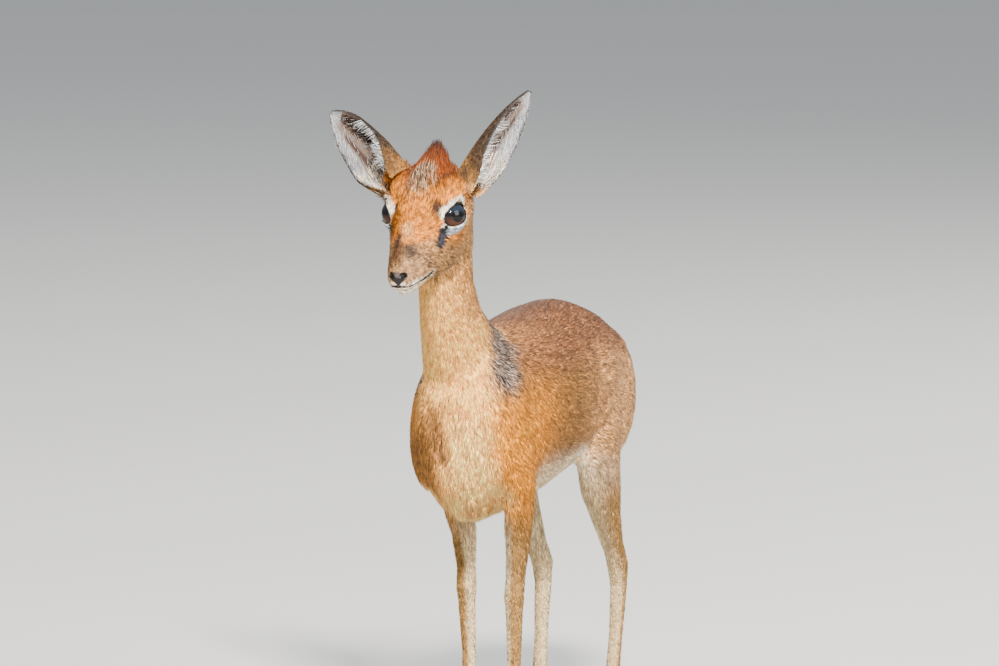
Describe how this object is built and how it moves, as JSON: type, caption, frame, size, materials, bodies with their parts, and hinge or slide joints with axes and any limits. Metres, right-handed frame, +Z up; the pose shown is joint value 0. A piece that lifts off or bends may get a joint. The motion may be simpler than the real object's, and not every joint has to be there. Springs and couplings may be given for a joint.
{
  "type": "dik dik model",
  "caption": "Life-size still model of a hornless female dik dik standing with head up, ears spread and a pointed crest.",
  "frame": {"origin": "on the floor under the middle of the whole model's bounding box", "axes": "+Z up; the animal faces -Y with its trunk along Y; +X towards the animal's own left side"},
  "size_m": [0.1734, 0.4656, 0.5696],
  "materials": {
    "tan_coat": "short orange-tan fur",
    "back_coat": "short grizzled brown fur",
    "crest_hair": "stiff rufous hair with dark tips",
    "chin_hair": "short cream fur",
    "ear_coat": "short brown fur outside, pale fringes inside",
    "eye": "wet gloss",
    "nose_pad": "moist bare skin",
    "hoof": "dull horn"
  },
  "bodies": {
    "root": {"barrel": "back_coat", "crest": "crest_hair", "ear_left": "ear_coat", "ear_right": "ear_coat", "eye_left": "eye", "eye_right": "eye", "fore_cannon_left": "tan_coat", "fore_cannon_right": "tan_coat", "fore_hoof_left_inner": "hoof", "fore_hoof_left_outer": "hoof", "fore_hoof_right_inner": "hoof", "fore_hoof_right_outer": "hoof", "fore_pastern_left": "tan_coat", "fore_pastern_right": "tan_coat", "forearm_left": "tan_coat", "forearm_right": "tan_coat", "forequarters": "tan_coat", "gaskin_left": "tan_coat", "gaskin_right": "tan_coat", "head": "tan_coat", "hind_cannon_left": "tan_coat", "hind_cannon_right": "tan_coat", "hind_hoof_left_inner": "hoof", "hind_hoof_left_outer": "hoof", "hind_hoof_right_inner": "hoof", "hind_hoof_right_outer": "hoof", "hind_pastern_left": "tan_coat", "hind_pastern_right": "tan_coat", "hindquarters": "back_coat", "jaw": "chin_hair", "neck": "tan_coat", "nose": "nose_pad", "tail": "back_coat"}
  },
  "joints": []
}
